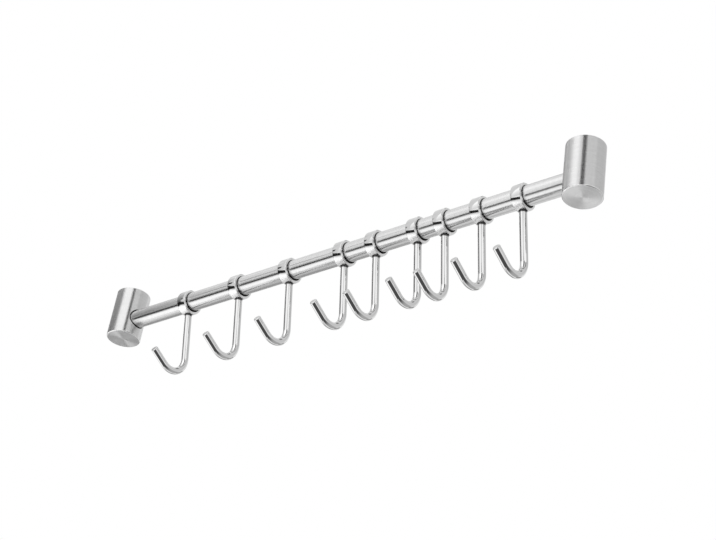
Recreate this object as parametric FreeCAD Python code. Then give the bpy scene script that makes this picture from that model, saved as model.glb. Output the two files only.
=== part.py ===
import FreeCAD, Part
import math
import os
from FreeCAD import Vector

# Kitchen utensil rail: a steel tube carried between two turned posts, with hooks that slide and swing on it.
# The posts stand on their mount faces under a shelf or a cabinet, so the rail hangs below the mount plane.
# Frame in millimetres: X along the rail, Z up, origin midway between the posts on the mount plane.

# Posts
POST_SPACING = 470.0
POST_D = 30.0
POST_LENGTH = 45.0
POST_WALL = 3.0
POST_RIM_R = 1.0
POST_END_BREAK = 0.4

# Rail tube and its seat in the posts
RAIL_D = 16.0
RAIL_WALL = 1.2
RAIL_DROP = 28.0
RAIL_SEAT = 18.0
RAIL_END_GAP = 0.4
RAIL_FIT = 0.12
RAIL_END_BREAK = 0.3
SEAT_MOUTH_R = 0.6

# Mounting plugs, which are screwed to the shelf first and then covered by the posts
PLUG_THICK = 14.0
PLUG_FIT = 0.08
PLUG_BREAK = 0.5
PLUG_RELIEF = 1.5
SCREW_HOLE_D = 5.0
SCREW_HEAD_D = 10.5

# Grub screws, which lock the posts on the plugs from the side that is turned away
GRUB_D = 4.0
GRUB_DROP = 7.0
GRUB_INSET = 0.3
GRUB_FIT = 0.05
GRUB_POINT_D = 1.0
GRUB_KEY = 2.0
GRUB_KEY_DEPTH = 1.5
GROOVE_DEPTH = 1.5

# Hook rings
RING_PLAY = 1.0
RING_WALL = 2.2
RING_WIDTH = 9.0
RING_EDGE_R = 0.7
RING_BORE_EDGE_R = 0.3
RING_REST_GAP = 0.06

# Hook rods, bent to a J and welded under their rings
ROD_D = 6.0
ROD_DROP = 51.5
ROD_BEND_R = 14.5
ROD_BEND_DEG = 128.0
ROD_LEG = 16.0
ROD_TIP_R = 0.8
WELD_R = 0.9
WELD_GAP = 0.06

# Where the rings hang along the rail, measured from its middle
HOOK_PLACES = (-157.5, -98.5, -42.5, 15.5, 47.5, 88.0, 113.5, 147.0, 183.5)

X_AXIS = Vector(1, 0, 0)
Y_AXIS = Vector(0, 1, 0)
Z_AXIS = Vector(0, 0, 1)

RAIL_R = RAIL_D / 2
POST_R = POST_D / 2
SOCKET_R = POST_R - POST_WALL
PLUG_R = SOCKET_R - PLUG_FIT
GROOVE_R = PLUG_R - GROOVE_DEPTH
GRUB_R = GRUB_D / 2
ROD_R = ROD_D / 2
RING_INNER_R = RAIL_R + RING_PLAY / 2
RING_OUTER_R = RING_INNER_R + RING_WALL
RING_DROP = RAIL_DROP + RING_PLAY / 2 - RING_REST_GAP


def turned(points):
    """Solid of revolution about Z from (radius, height) corners."""
    outline = Part.makePolygon([Vector(r, 0, z) for r, z in points + points[:1]])
    return Part.Face(outline).revolve(Vector(0, 0, 0), Z_AXIS, 360)


def edges_of_circle(shape, radius, height):
    """Edges of a turned solid that are whole circles of one radius at one height."""
    found = []
    for edge in shape.Edges:
        if not isinstance(edge.Curve, Part.Circle):
            continue
        right_size = abs(edge.Curve.Radius - radius) < 1e-6
        right_place = abs(edge.Curve.Center.z - height) < 1e-6
        if right_size and right_place:
            found.append(edge)
    return found


def rail_tube():
    """Tube along X whose two ends sit in the posts."""
    length = POST_SPACING - POST_D + 2 * RAIL_SEAT
    bore_r = RAIL_R - RAIL_WALL
    half = length / 2
    tube = turned([
        (bore_r, -half),
        (RAIL_R - RAIL_END_BREAK, -half),
        (RAIL_R, -half + RAIL_END_BREAK),
        (RAIL_R, half - RAIL_END_BREAK),
        (RAIL_R - RAIL_END_BREAK, half),
        (bore_r, half),
    ])
    tube.rotate(Vector(0, 0, 0), Y_AXIS, 90)
    tube.translate(Vector(0, 0, -RAIL_DROP))
    return tube


def post():
    """Right post about its own axis, with a blind seat for the tube, a plug socket and a grub screw hole."""
    socket_depth = PLUG_THICK + PLUG_RELIEF
    body = turned([
        (0, -POST_LENGTH),
        (POST_R, -POST_LENGTH),
        (POST_R, -POST_END_BREAK),
        (POST_R - POST_END_BREAK, 0),
        (SOCKET_R, 0),
        (SOCKET_R, -socket_depth),
        (0, -socket_depth),
    ])
    body = body.makeFillet(POST_RIM_R, edges_of_circle(body, POST_R, -POST_LENGTH))

    seat_r = RAIL_R + RAIL_FIT
    seat_end = -POST_R + RAIL_SEAT + RAIL_END_GAP
    seat_start = -POST_D
    seat = Part.makeCylinder(seat_r, seat_end - seat_start, Vector(seat_start, 0, -RAIL_DROP), X_AXIS)
    body = body.cut(seat)
    mouth = []
    for edge in body.Edges:
        box = edge.BoundBox
        on_mouth = box.XMax < -POST_R / 2 and box.ZMax - box.ZMin > RAIL_D / 2
        if on_mouth and box.YMax - box.YMin > RAIL_R / 2:
            mouth.append(edge)
    body = body.makeFillet(SEAT_MOUTH_R, mouth)

    screw_way = Part.makeCylinder(GRUB_R + GRUB_FIT, POST_D, Vector(0, 0, -GRUB_DROP), Y_AXIS)
    return body.cut(screw_way)


def wall_plug():
    """Turned plug with a countersunk screw hole and a V groove that the grub screw bites into."""
    hole_r = SCREW_HOLE_D / 2
    head_r = SCREW_HEAD_D / 2
    return turned([
        (hole_r, 0),
        (PLUG_R - PLUG_BREAK, 0),
        (PLUG_R, -PLUG_BREAK),
        (PLUG_R, -GRUB_DROP + GROOVE_DEPTH),
        (GROOVE_R, -GRUB_DROP),
        (PLUG_R, -GRUB_DROP - GROOVE_DEPTH),
        (PLUG_R, -PLUG_THICK + PLUG_BREAK),
        (PLUG_R - PLUG_BREAK, -PLUG_THICK),
        (head_r, -PLUG_THICK),
        (hole_r, -PLUG_THICK + head_r - hole_r),
    ])


def grub_screw():
    """Headless screw along Y with a cone point in the plug's groove and a hexagon socket in its outer end."""
    point_r = GRUB_POINT_D / 2
    tip = GROOVE_R + point_r + GRUB_FIT
    length = POST_R - GRUB_INSET - tip
    screw = turned([
        (0, 0),
        (point_r, 0),
        (GRUB_R, GRUB_R - point_r),
        (GRUB_R, length),
        (0, length),
    ])
    corner_r = GRUB_KEY / 2 / math.cos(math.pi / 6)
    corners = []
    for step in range(7):
        turn = math.radians(60 * step)
        corners.append(Vector(corner_r * math.cos(turn), corner_r * math.sin(turn), length))
    socket = Part.Face(Part.makePolygon(corners)).extrude(Vector(0, 0, -GRUB_KEY_DEPTH))
    screw = screw.cut(socket)
    screw.rotate(Vector(0, 0, 0), X_AXIS, -90)
    screw.translate(Vector(0, tip, -GRUB_DROP))
    return screw


def hook_ring():
    """Band about X that rides on the tube, well rounded outside and with its bore's edges broken."""
    half = RING_WIDTH / 2
    band = turned([
        (RING_INNER_R, -half),
        (RING_OUTER_R, -half),
        (RING_OUTER_R, half),
        (RING_INNER_R, half),
    ])
    for radius, edge_r in ((RING_INNER_R, RING_BORE_EDGE_R), (RING_OUTER_R, RING_EDGE_R)):
        rims = edges_of_circle(band, radius, -half) + edges_of_circle(band, radius, half)
        band = band.makeFillet(edge_r, rims)
    band.rotate(Vector(0, 0, 0), Y_AXIS, 90)
    return band


def hook_rod():
    """J of round rod under a ring axis at the origin, hung at its own balance, with its weld fillet on top."""
    bend = math.radians(ROD_BEND_DEG)

    def on_bend(angle):
        return Vector(0, -ROD_BEND_R * (1 - math.cos(angle)), -ROD_DROP - ROD_BEND_R * math.sin(angle))

    top = Vector(0, 0, 0)
    bend_start = on_bend(0)
    bend_end = on_bend(bend)
    tip = bend_end + Vector(0, -math.sin(bend), -math.cos(bend)) * ROD_LEG
    path = Part.Wire([
        Part.LineSegment(top, bend_start).toShape(),
        Part.Arc(bend_start, on_bend(bend / 2), bend_end).toShape(),
        Part.LineSegment(bend_end, tip).toShape(),
    ])
    section = Part.Wire(Part.makeCircle(ROD_R, top, Z_AXIS))
    rod = path.makePipeShell([section], True, True)
    tip_edges = [e for e in rod.Edges if (e.CenterOfMass - tip).Length < ROD_R / 10]
    rod = rod.makeFillet(ROD_TIP_R, tip_edges)

    drum = Part.makeCylinder(RING_OUTER_R, 2 * RING_WIDTH, Vector(-RING_WIDTH, 0, 0), X_AXIS)
    joined = drum.fuse(rod)
    weld_edges = []
    for edge in joined.Edges:
        box = edge.BoundBox
        under_ring = -RING_OUTER_R - ROD_R < box.ZMin and box.ZMax < -RING_OUTER_R / 2
        if under_ring and box.XMax - box.XMin < 1.1 * ROD_D:
            weld_edges.append(edge)
    joined = joined.makeFillet(WELD_R, weld_edges)
    room = Part.makeCylinder(RING_OUTER_R + WELD_GAP, 4 * RING_WIDTH, Vector(-2 * RING_WIDTH, 0, 0), X_AXIS)
    rod = joined.cut(room).Solids[0]

    balance = rod.CenterOfMass
    lean = math.degrees(math.atan2(-balance.y, -balance.z))
    rod.rotate(Vector(0, 0, 0), X_AXIS, lean)
    return rod


def save(name, shape):
    """Check one piece and write it as a node."""
    solids = shape.Solids
    if len(solids) != 1 or not solids[0].isValid():
        raise ValueError(name + " is not one sound solid")
    solids[0].exportStep("parts/" + name + ".step")


os.makedirs("parts", exist_ok=True)

save("rail_tube", rail_tube())

for name, piece in (("post", post()), ("wall_plug", wall_plug()), ("grub_screw", grub_screw())):
    piece.translate(Vector(POST_SPACING / 2, 0, 0))
    save("right_" + name, piece)
    save("left_" + name, piece.mirror(Vector(0, 0, 0), X_AXIS))

ring = hook_ring()
rod = hook_rod()
for number, x in enumerate(HOOK_PLACES, start=1):
    hang = Vector(x, 0, -RING_DROP)
    save("hook_%d_ring" % number, ring.translated(hang))
    save("hook_%d_rod" % number, rod.translated(hang))
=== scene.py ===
import math

import bpy
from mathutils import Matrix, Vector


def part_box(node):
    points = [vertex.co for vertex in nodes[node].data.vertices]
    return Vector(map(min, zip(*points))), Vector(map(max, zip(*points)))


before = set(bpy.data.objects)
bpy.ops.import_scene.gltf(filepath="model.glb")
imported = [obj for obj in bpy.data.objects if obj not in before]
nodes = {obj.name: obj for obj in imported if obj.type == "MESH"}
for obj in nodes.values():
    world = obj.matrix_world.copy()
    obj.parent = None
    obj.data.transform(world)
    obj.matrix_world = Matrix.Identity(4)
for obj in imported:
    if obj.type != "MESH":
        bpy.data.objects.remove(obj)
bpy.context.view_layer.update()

# Wall plugs: two bare steel plugs, turned on a lathe and drilled for a countersunk screw.
# They are screwed to the shelf first, and then sit out of sight inside the posts.
plug_low, plug_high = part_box("right_wall_plug")
post_axis_x = (plug_low.x + plug_high.x) / 2


def add_node(tree, kind, inputs=None, **settings):
    """New node with its settings, and with each input linked to a socket or set to a value."""
    made = tree.nodes.new(kind)
    for name, value in settings.items():
        setattr(made, name, value)
    for name, value in (inputs or {}).items():
        if isinstance(value, bpy.types.NodeSocket):
            tree.links.new(value, made.inputs[name])
        else:
            made.inputs[name].default_value = value
    return made


def calculate(tree, operation, first, second=0.0):
    return add_node(tree, "ShaderNodeMath", {0: first, 1: second}, operation=operation).outputs[0]


def split(tree, vector):
    """X, Y and Z of a vector."""
    return add_node(tree, "ShaderNodeSeparateXYZ", {0: vector}).outputs


def flatten(tree, place):
    """Place with its height along the Z axis taken out."""
    return add_node(tree, "ShaderNodeVectorMath", {0: place, 1: (1, 1, 0)}, operation="MULTIPLY").outputs[0]


def distance_from_axis(tree, place):
    """How far a place is from the Z axis."""
    flat = {0: flatten(tree, place)}
    return add_node(tree, "ShaderNodeVectorMath", flat, operation="LENGTH").outputs["Value"]


def lathe_lines_group():
    """Fine lines and wider bands that run round a turning axis along Z, on its sides and its ends."""
    bands_per_line = 0.12
    changes_per_metre = 90.0
    group = bpy.data.node_groups.new("lathe_lines", "ShaderNodeTree")
    group.interface.new_socket("Place", in_out="INPUT", socket_type="NodeSocketVector")
    group.interface.new_socket("Lines per metre", in_out="INPUT", socket_type="NodeSocketFloat")
    group.interface.new_socket("Lines", in_out="OUTPUT", socket_type="NodeSocketFloat")
    group.interface.new_socket("Bands", in_out="OUTPUT", socket_type="NodeSocketFloat")
    given = group.nodes.new("NodeGroupInput")
    result = group.nodes.new("NodeGroupOutput")
    place = given.outputs["Place"]
    along = calculate(group, "ADD", distance_from_axis(group, place), split(group, place)["Z"])
    line_count = calculate(group, "MULTIPLY", along, given.outputs["Lines per metre"])
    band_count = calculate(group, "MULTIPLY", line_count, bands_per_line)
    slow = {0: flatten(group, place), "Scale": changes_per_metre}
    slow = add_node(group, "ShaderNodeVectorMath", slow, operation="SCALE").outputs[0]
    for count, name, detail in ((line_count, "Lines", 3.0), (band_count, "Bands", 2.0)):
        inputs = {"Vector": slow, "W": count, "Scale": 1.0, "Detail": detail}
        noise = add_node(group, "ShaderNodeTexNoise", inputs, noise_dimensions="4D")
        group.links.new(noise.outputs["Fac"], result.inputs[name])
    return group


lathe_lines = lathe_lines_group()


def new_finish(name, metallic=1.0):
    material = bpy.data.materials.new(name)
    material.use_nodes = True
    tree = material.node_tree
    tree.nodes.clear()
    shader = add_node(tree, "ShaderNodeBsdfPrincipled", {"Metallic": metallic})
    add_node(tree, "ShaderNodeOutputMaterial", {"Surface": shader.outputs[0]})
    return material, tree, shader


def object_place(tree):
    return add_node(tree, "ShaderNodeTexCoord").outputs["Object"]


def place_about_post(tree):
    """Place measured from the axis of the nearer post, which is Z."""
    x, y, z = split(tree, object_place(tree))
    across = calculate(tree, "SUBTRACT", calculate(tree, "ABSOLUTE", x), post_axis_x)
    return add_node(tree, "ShaderNodeCombineXYZ", {0: across, 1: y, 2: z}).outputs[0]


def grey(level):
    return (level, level, level, 1)


def mix_colours(tree, mask, first, second):
    colours = {"Factor": mask, "A": first, "B": second}
    return add_node(tree, "ShaderNodeMix", colours, data_type="RGBA").outputs["Result"]


def spread(tree, value, low, high, from_low=0.3, from_high=0.7):
    """Value that runs from low to high. The ends it comes from are a noise's own, unless they are given."""
    ends = {"Value": value, "From Min": from_low, "From Max": from_high, "To Min": low, "To Max": high}
    return add_node(tree, "ShaderNodeMapRange", ends).outputs["Result"]


def turned_finish(tree, shader, place, lines_per_metre, dark, light, smooth, rough, depth):
    """Lathe lines in the roughness and the bump, and wider bands of two greys in the colour."""
    counts = {"Place": place, "Lines per metre": lines_per_metre}
    grain = add_node(tree, "ShaderNodeGroup", counts, node_tree=lathe_lines)
    shade = mix_colours(tree, grain.outputs["Bands"], grey(dark), grey(light))
    tree.links.new(shade, shader.inputs["Base Color"])
    tree.links.new(spread(tree, grain.outputs["Lines"], smooth, rough), shader.inputs["Roughness"])
    lines = {"Height": grain.outputs["Lines"], "Distance": depth, "Strength": 0.3}
    tree.links.new(add_node(tree, "ShaderNodeBump", lines).outputs[0], shader.inputs["Normal"])


plug_steel, tree, shader = new_finish("plug_steel")
turned_finish(tree, shader, place_about_post(tree), lines_per_metre=2400, dark=0.42, light=0.55,
              smooth=0.26, rough=0.42, depth=0.00006)
for side in ("left", "right"):
    nodes[side + "_wall_plug"].data.materials[0] = plug_steel

# Posts: two thick bars of stainless steel, turned and brushed round on a lathe, with a rounded rim that has
# a painted highlight.
# Each slips over its plug and takes one end of the tube in a blind hole in its side,
# where the bore round the tube is painted nearly black as painted shade.
post_steel, tree, shader = new_finish("post_steel")
turned_finish(tree, shader, place_about_post(tree), lines_per_metre=3600, dark=0.71, light=0.80,
              smooth=0.26, rough=0.36, depth=0.000015)


def brush_round(tree, shader, axis):
    """Shine drawn out across fine lines that run round an axis."""
    shader.inputs["Anisotropic"].default_value = 1.0
    shader.inputs["Anisotropic Rotation"].default_value = 0.25
    round_axis = add_node(tree, "ShaderNodeTangent", direction_type="RADIAL", axis=axis)
    tree.links.new(round_axis.outputs[0], shader.inputs["Tangent"])


brush_round(tree, shader, "Z")


def mask_from(tree, value, none_at, full_at):
    """Mask that goes from nought to one between two values."""
    return spread(tree, value, 0.0, 1.0, none_at, full_at)


def where_both(tree, first, second):
    """Mask of where two masks overlap."""
    return calculate(tree, "MULTIPLY", first, second)


def lay_over(tree, shader, mask, level, rough):
    """Another grey and roughness where the mask is one."""
    colour = shader.inputs["Base Color"].links[0].from_socket
    roughness = shader.inputs["Roughness"].links[0].from_socket
    roughnesses = {"Factor": mask, "A": roughness, "B": rough}
    roughness = add_node(tree, "ShaderNodeMix", roughnesses).outputs["Result"]
    tree.links.new(mix_colours(tree, mask, colour, grey(level)), shader.inputs["Base Color"])
    tree.links.new(roughness, shader.inputs["Roughness"])


rail_low, rail_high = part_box("rail_tube")
rail_height = (rail_low.z + rail_high.z) / 2
rail_radius = (rail_high.z - rail_low.z) / 2


def place_about_rail(tree, axis_height):
    """Place measured from a level axis along the rail, which becomes Z. Its Y points up."""
    x, y, z = split(tree, object_place(tree))
    above = calculate(tree, "SUBTRACT", z, axis_height)
    return add_node(tree, "ShaderNodeCombineXYZ", {0: y, 1: above, 2: x}).outputs[0]


# Painted shade: the bore of the seat, round the tube's end, is made nearly black.
seat_gap = 0.0006
seat_soft = 0.0003
seat_end = 0.005
seat_end_soft = 0.001
about_post = place_about_post(tree)
across, _, height = split(tree, about_post)
seat_edge = rail_radius + seat_gap
from_rail = distance_from_axis(tree, place_about_rail(tree, rail_height))
seat_shade_mask = mask_from(tree, from_rail, none_at=seat_edge + seat_soft, full_at=seat_edge)
on_rail_side = mask_from(tree, across, none_at=seat_end + seat_end_soft, full_at=seat_end)
lay_over(tree, shader, where_both(tree, seat_shade_mask, on_rail_side), level=0.02, rough=0.6)

# Painted highlight: the rounded rim round the post's end face is made a lighter grey, with less roughness.
rim_width = 0.0012
rim_height = 0.0010
rim_soft = 0.0004
post_low, post_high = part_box("right_post")
rim_inside = (post_high.y - post_low.y) / 2 - rim_width
rim_top = post_low.z + rim_height
from_post_axis = distance_from_axis(tree, about_post)
far_out = mask_from(tree, from_post_axis, none_at=rim_inside, full_at=rim_inside + rim_soft)
low_down = mask_from(tree, height, none_at=rim_top, full_at=rim_top - rim_soft)
lay_over(tree, shader, where_both(tree, far_out, low_down), level=0.9, rough=0.2)
for side in ("left", "right"):
    nodes[side + "_post"].data.materials[0] = post_steel

# Grub screws: headless screws of blackened steel with a hexagon socket, one in the back of each post.
# Their cone points press into the plugs' grooves and hold the posts on.
screw_black, tree, shader = new_finish("screw_black")
turned_finish(tree, shader, place_about_post(tree), lines_per_metre=2400, dark=0.05, light=0.09,
              smooth=0.35, rough=0.5, depth=0.00003)
for side in ("left", "right"):
    nodes[side + "_grub_screw"].data.materials[0] = screw_black

# Rail: a length of stainless tube, ground and polished to a satin shine that runs in long bands.
# It carries the hooks, and its two ends are held in the posts.
rail_steel, tree, shader = new_finish("rail_steel")
about_rail = place_about_rail(tree, rail_height)
turned_finish(tree, shader, about_rail, lines_per_metre=2600, dark=0.70, light=0.78,
              smooth=0.18, rough=0.22, depth=0.000003)
brush_round(tree, shader, "X")
nodes["rail_tube"].data.materials[0] = rail_steel

# Hook rings: nine short polished bands of stainless tube, with a painted highlight on their rounded edges
# and painted shade in the bore.
# They hang loosely on the rail, touching it only at the top, and slide along it.
# Each has painted light at the bottom, where its rod is welded on: a lighter grey with a rougher shine.
# Each is buffed very slightly round.
hook_numbers = range(1, 10)
ring_low, ring_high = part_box("hook_1_ring")
ring_height = (ring_low.z + ring_high.z) / 2
ring_bore = 0.0085
bore_soft = 0.0002
edge_start = 0.43
edge_full = 0.47
painted_light_start = -0.0070
painted_light_full = -0.0086
crown_drop = -0.0010
ring_steel, tree, shader = new_finish("ring_steel")
about_ring = place_about_rail(tree, ring_height)
turned_finish(tree, shader, about_ring, lines_per_metre=1800, dark=0.62, light=0.68,
              smooth=0.07, rough=0.12, depth=0.000001)
# Painted highlight: the ring's rounded edges are made a near-white grey, with less roughness.
along_width = split(tree, add_node(tree, "ShaderNodeTexCoord").outputs["Generated"])["X"]
from_middle = calculate(tree, "ABSOLUTE", calculate(tree, "SUBTRACT", along_width, 0.5))
edge_highlight_mask = mask_from(tree, from_middle, none_at=edge_start, full_at=edge_full)
lay_over(tree, shader, edge_highlight_mask, level=0.93, rough=0.15)
# Painted light: the bottom of the ring, by the weld, is made a near-white grey, with more roughness.
above_axis = split(tree, about_ring)["Y"]
painted_light_low = mask_from(tree, above_axis, none_at=painted_light_start, full_at=painted_light_full)
lay_over(tree, shader, painted_light_low, level=0.92, rough=0.34)
# Painted shade: the ring's bore is made nearly black.
from_ring_axis = distance_from_axis(tree, about_ring)
bore_edge = ring_bore + bore_soft
bore_shade_mask = mask_from(tree, from_ring_axis, none_at=bore_edge + bore_soft, full_at=bore_edge)
lay_over(tree, shader, bore_shade_mask, level=0.04, rough=0.5)
crown = calculate(tree, "MULTIPLY", calculate(tree, "POWER", from_middle, 2.0), crown_drop)
lines = shader.inputs["Normal"].links[0].from_socket
crown = {"Height": crown, "Distance": 1.0, "Strength": 1.0, "Normal": lines}
tree.links.new(add_node(tree, "ShaderNodeBump", crown).outputs[0], shader.inputs["Normal"])
for number in hook_numbers:
    nodes["hook_%d_ring" % number].data.materials[0] = ring_steel

# Hook rods: nine lengths of round stainless rod, bent to a J, buffed bright and sawn off square at the tip.
# Each is welded under its ring, with a smooth fillet of dark, uneven weld metal round its top.
rod_steel, tree, shader = new_finish("rod_steel")
here = object_place(tree)


def noise(tree, place, scale, detail=2.0):
    inputs = {"Vector": place, "Scale": scale, "Detail": detail}
    return add_node(tree, "ShaderNodeTexNoise", inputs).outputs["Fac"]


def drawn_out(tree, place, lines_per_metre):
    """Place scaled by its own number of lines per metre along X, Y and Z."""
    return add_node(tree, "ShaderNodeMapping", {"Vector": place, "Scale": lines_per_metre}).outputs[0]


haze = noise(tree, here, scale=120.0, detail=3.0)
tree.links.new(mix_colours(tree, haze, grey(0.74), grey(0.82)), shader.inputs["Base Color"])
tree.links.new(spread(tree, haze, low=0.03, high=0.06), shader.inputs["Roughness"])
buffing = noise(tree, drawn_out(tree, here, (900, 900, 40)), scale=1.0, detail=3.0)
buffing = {"Height": buffing, "Distance": 0.0000005, "Strength": 0.3}
tree.links.new(add_node(tree, "ShaderNodeBump", buffing).outputs[0], shader.inputs["Normal"])

weld_reach = 0.0018
weld_soft = 0.0008
weld_unevenness = 0.0010
ring_radius = (ring_high.z - ring_low.z) / 2
from_ring_axis = distance_from_axis(tree, place_about_rail(tree, ring_height))
from_ring = calculate(tree, "SUBTRACT", from_ring_axis, ring_radius)
beads = calculate(tree, "MULTIPLY", noise(tree, here, scale=700.0), weld_unevenness)
weld_edge = calculate(tree, "ADD", from_ring, beads)
in_weld = mask_from(tree, weld_edge, none_at=weld_reach + weld_soft, full_at=weld_reach)
lay_over(tree, shader, in_weld, level=0.06, rough=0.25)

tip_way = (0, -0.887, 0.463)
facing_tip = {0: add_node(tree, "ShaderNodeTexCoord").outputs["Normal"], 1: tip_way}
facing_tip = add_node(tree, "ShaderNodeVectorMath", facing_tip, operation="DOT_PRODUCT").outputs["Value"]
on_tip = mask_from(tree, facing_tip, none_at=0.97, full_at=0.99)
saw_lines = noise(tree, drawn_out(tree, here, (150, 5000, 5000)), scale=1.0)
sawn = where_both(tree, on_tip, spread(tree, saw_lines, low=0.5, high=1.0))
lay_over(tree, shader, sawn, level=0.55, rough=0.4)
for number in hook_numbers:
    nodes["hook_%d_rod" % number].data.materials[0] = rod_steel

# Floor: a wide pale studio floor, painted plain.
# It lies well below the rail, which hangs as it would under a shelf.
floor_size = 14
floor_drop = -1.6
bpy.ops.object.select_all(action="DESELECT")
bpy.ops.mesh.primitive_plane_add(size=floor_size, location=(0, 0, floor_drop))
floor = bpy.context.object
floor.name = "studio_floor"
bpy.ops.object.transform_apply(location=True)
floor_paint, tree, shader = new_finish("floor_paint", metallic=0.0)
shader.inputs["Base Color"].default_value = grey(0.95)
shader.inputs["Roughness"].default_value = 0.8
floor.data.materials.append(floor_paint)
floor.visible_glossy = False

# Light tent: a ball of white cloth round the rail, lit from outside, which only the steel mirrors.
# Its grey, black and bright panels and its dark seams give the bands and sharp lines along the steel.
tent_radius = 2.6
bpy.ops.object.select_all(action="DESELECT")
bpy.ops.mesh.primitive_uv_sphere_add(segments=64, ring_count=32, radius=tent_radius)
tent = bpy.context.object
tent.name = "light_tent"


def new_cloth(name):
    """Glowing material that isn't a lamp of its own."""
    cloth = bpy.data.materials.new(name)
    cloth.use_nodes = True
    cloth.cycles.emission_sampling = "NONE"
    cloth.node_tree.nodes.clear()
    return cloth, cloth.node_tree


def hide_from_camera(piece):
    piece.visible_camera = False
    piece.visible_diffuse = False
    piece.visible_shadow = False


tent_cloth, tent_tree = new_cloth("tent_cloth")


def unit(vector):
    return add_node(tent_tree, "ShaderNodeVectorMath", {0: vector}, operation="NORMALIZE").outputs[0]


way = unit(object_place(tent_tree))
way_x, way_y, way_z = split(tent_tree, way)
level_way = unit(flatten(tent_tree, way))


def toward(direction, looking=way):
    """How far a place on the tent lies toward a direction, from minus one to one."""
    ways = {0: looking, 1: direction}
    return add_node(tent_tree, "ShaderNodeVectorMath", ways, operation="DOT_PRODUCT").outputs["Value"]


def ramp(value, none_at, full_at):
    """Soft mask that goes from nought to one between two values."""
    ends = {"Value": value, "From Min": none_at, "From Max": full_at}
    mapped = add_node(tent_tree, "ShaderNodeMapRange", ends, interpolation_type="SMOOTHSTEP")
    return mapped.outputs["Result"]


def between(value, low, high, soft):
    return where_both(tent_tree, ramp(value, low - soft, low), ramp(value, high + soft, high))


def within(nearness, half_angle, soft):
    """Mask of what lies within an angle, from how far it lies toward the middle. Angles are in degrees."""
    return ramp(nearness, math.cos(math.radians(half_angle + soft)), math.cos(math.radians(half_angle)))


def sector(azimuth, half_width, soft):
    """Part of the tent round an azimuth, in degrees, from top to bottom."""
    turn = math.radians(azimuth)
    return within(toward((math.cos(turn), math.sin(turn), 0), level_way), half_width, soft)


def side_panel(azimuth, half_width, bottom, top, soft):
    """Part of the tent round an azimuth and between two heights, all in degrees."""
    low = math.sin(math.radians(bottom))
    high = math.sin(math.radians(top))
    heights = between(way_z, low, high, math.radians(soft))
    return where_both(tent_tree, sector(azimuth, half_width, soft), heights)


def bottom_panel(left, right, front, back, back_soft):
    """Part of the tent's bottom, between two places across and two from front to back."""
    soft = 0.1
    across = between(way_x, left, right, soft)
    deep = where_both(tent_tree, ramp(way_y, front - soft, front), ramp(way_y, back + back_soft, back))
    below = ramp(way_z, 0.0, -soft)
    return where_both(tent_tree, below, where_both(tent_tree, across, deep))


def rod_strip(azimuth, half_width):
    """Narrow strip of the tent that the hooks' straight rods mirror, round an azimuth in degrees."""
    rod_way = (0, -0.18, 0.983)
    heights = between(toward(rod_way), low=0.33, high=0.46, soft=0.03)
    return where_both(tent_tree, sector(azimuth, half_width, soft=4), heights)


def patch(direction, half_angle, soft):
    """Round part of the tent in a direction. Angles are in degrees."""
    return within(toward(direction), half_angle, soft)


def seam(across, facing, half_width, soft, low_x, high_x, soft_x):
    """Strip at right angles to one direction and on the side of another, between two places in X."""
    strip = ramp(calculate(tent_tree, "ABSOLUTE", toward(across)), half_width + soft, half_width)
    strip = where_both(tent_tree, strip, ramp(toward(facing), 0.0, 0.15))
    return where_both(tent_tree, strip, between(way_x, low_x, high_x, soft_x))


def paint(under, mask, level):
    return add_node(tent_tree, "ShaderNodeMix", {"Factor": mask, "A": under, "B": level}).outputs["Result"]


# Grey cloth past the left and the right end of the rail.
white_cloth = 0.92
light = paint(white_cloth, side_panel(azimuth=168, half_width=46, bottom=-20, top=44, soft=6), level=0.80)
light = paint(light, side_panel(azimuth=3, half_width=63, bottom=-5, top=60, soft=8), level=0.70)
# Black, bright and grey strips for the straight rods.
light = paint(light, rod_strip(azimuth=191, half_width=37), level=0.0)
light = paint(light, rod_strip(azimuth=333, half_width=25), level=1.15)
light = paint(light, rod_strip(azimuth=45, half_width=38), level=0.6)
# Grey patches low at the back, bright ones low in front and on the left, and a black one for the rings.
light = paint(light, patch((0.45, 0.62, -0.64), half_angle=26, soft=14), level=0.45)
light = paint(light, patch((-0.70, 0.65, -0.30), half_angle=14, soft=10), level=0.35)
light = paint(light, patch((-0.62, -0.20, -0.76), half_angle=18, soft=12), level=1.3)
light = paint(light, patch((-0.42, -0.86, -0.29), half_angle=7, soft=8), level=1.3)
light = paint(light, patch((-0.82, -0.30, -0.49), half_angle=14, soft=8), level=1.4)
light = paint(light, patch((-0.85, -0.51, -0.125), half_angle=13, soft=6), level=0.03)
# Black cloth under the rail, a black strip for the hooks' short legs, and a small grey panel behind.
under_rail = bottom_panel(left=-0.06, right=0.78, front=-0.28, back=0.10, back_soft=0.55)
light = paint(light, under_rail, level=0.08)
leg_strip = between(toward(tip_way), low=-0.40, high=-0.25, soft=0.03)
leg_strip = where_both(tent_tree, leg_strip, between(way_x, low=-0.50, high=0.0, soft=0.08))
leg_strip = where_both(tent_tree, leg_strip, ramp(way_z, none_at=-0.4, full_at=-0.6))
light = paint(light, leg_strip, level=0.08)
light = paint(light, side_panel(azimuth=90, half_width=9, bottom=-20, top=2, soft=5), level=0.3)
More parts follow.
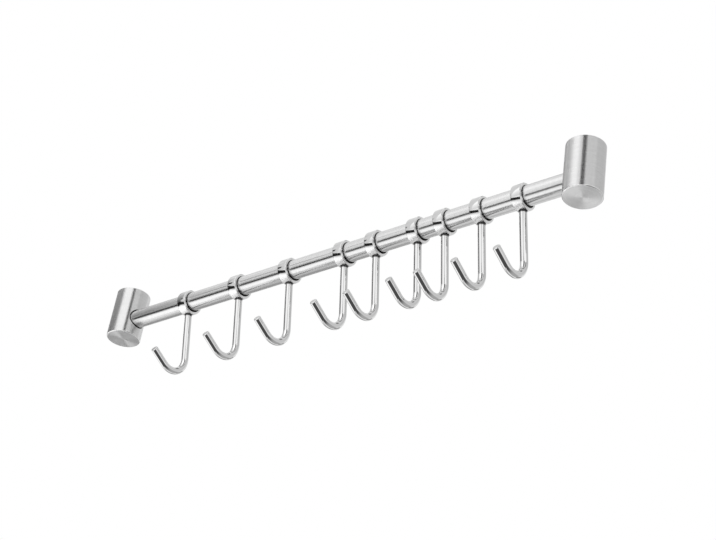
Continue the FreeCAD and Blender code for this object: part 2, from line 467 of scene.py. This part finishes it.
# Dark seams over the top, for the bends and along the tube.
top_seam = seam(across=(0, 0.94, -0.34), facing=(0, 0.34, 0.94),
                half_width=0.10, soft=0.05, low_x=-0.35, high_x=0.35, soft_x=0.1)
light = paint(light, top_seam, level=0.2)
lower_seam = seam(across=(0.738, 0.571, -0.361), facing=(-0.53, 0.17, -0.81),
                  half_width=0.07, soft=0.05, low_x=-0.59, high_x=-0.38, soft_x=0.06)
light = paint(light, lower_seam, level=0.22)
rail_seam = seam(across=(0.367, -0.592, 0.718), facing=(-0.59, -0.741, -0.319),
                 half_width=0.13, soft=0.04, low_x=-2.0, high_x=-0.25, soft_x=0.1)
light = paint(light, rail_seam, level=0.02)

glow = add_node(tent_tree, "ShaderNodeEmission", {"Strength": light, "Color": grey(1.0)})
add_node(tent_tree, "ShaderNodeOutputMaterial", {"Surface": glow.outputs[0]})
tent.data.materials.append(tent_cloth)
hide_from_camera(tent)

# Lamp panels: upright panels of white, grey and black cloth inside the tent, which only the steel mirrors.
# The white one in front is a soft lamp, and the others shade the posts.


def hang_panel(name, left_end, right_end, bottom, top,
               low_level, high_level, graded, soft_left, soft_right):
    """Upright panel between two places on plan, with a level that grades upwards and soft side edges."""
    across_x = right_end[0] - left_end[0]
    across_y = right_end[1] - left_end[1]
    middle = ((left_end[0] + right_end[0]) / 2, (left_end[1] + right_end[1]) / 2, (bottom + top) / 2)
    bpy.ops.object.select_all(action="DESELECT")
    bpy.ops.mesh.primitive_plane_add(size=1, location=middle)
    panel = bpy.context.object
    panel.name = name
    panel.scale = (math.hypot(across_x, across_y), top - bottom, 1)
    panel.rotation_euler = (math.radians(90), 0, math.atan2(across_y, across_x))
    bpy.ops.object.transform_apply(location=True, rotation=True, scale=True)
    cloth, tree = new_cloth(name + "_cloth")
    along, _, up = split(tree, add_node(tree, "ShaderNodeTexCoord").outputs["Generated"])
    level = spread(tree, up, low_level, high_level, 0.0, graded)
    glow = add_node(tree, "ShaderNodeEmission", {"Strength": level, "Color": grey(1.0)})
    clear = add_node(tree, "ShaderNodeBsdfTransparent")
    past_left = mask_from(tree, along, none_at=0.0, full_at=soft_left)
    before_right = mask_from(tree, along, none_at=1.0, full_at=1.0 - soft_right)
    cover = where_both(tree, past_left, before_right)
    mixed = add_node(tree, "ShaderNodeMixShader", {0: cover, 1: clear.outputs[0], 2: glow.outputs[0]})
    add_node(tree, "ShaderNodeOutputMaterial", {"Surface": mixed.outputs[0]})
    panel.data.materials.append(cloth)
    hide_from_camera(panel)


hang_panel("front_lamp", left_end=(-0.70, -1.214), right_end=(0.235, -0.624), bottom=-0.20, top=1.8,
           low_level=0.95, high_level=1.5, graded=0.45, soft_left=0.067, soft_right=0.105)
for name, bottom, top in (("lower_gap", -0.40, 0.19), ("upper_gap", 0.29, 2.4)):
    hang_panel(name, left_end=(0.44, -0.93), right_end=(0.92, -0.80), bottom=bottom, top=top,
               low_level=0.0, high_level=0.0, graded=1.0, soft_left=0.05, soft_right=0.35)
hang_panel("left_shade", left_end=(-0.428, 0.052), right_end=(-0.307, -0.187), bottom=-0.03, top=0.35,
           low_level=0.10, high_level=1.15, graded=1.0, soft_left=0.15, soft_right=0.05)

# Background: plain white all round, which the camera sees past the tent's cloth.
# It also gives the even studio light.
world = bpy.data.worlds.new("white_background")
bpy.context.scene.world = world
world.use_nodes = True
background = world.node_tree.nodes["Background"]
background.inputs["Color"].default_value = grey(1.0)
background.inputs["Strength"].default_value = 1.0

# Camera: below the rail and off its right end, looking up along it.
# Its place, turn and lens were fitted to the edges of the tube and the posts.
camera_place = (0.7097, -0.7254, -0.6755)
camera_turn = [math.radians(turn) for turn in (122.651, -8.008, 37.931)]
bpy.ops.object.camera_add(location=camera_place, rotation=camera_turn)
camera = bpy.context.object
camera.data.lens = 75.345
camera.data.sensor_width = 36
bpy.context.scene.camera = camera
bpy.context.scene.view_settings.view_transform = "Standard"
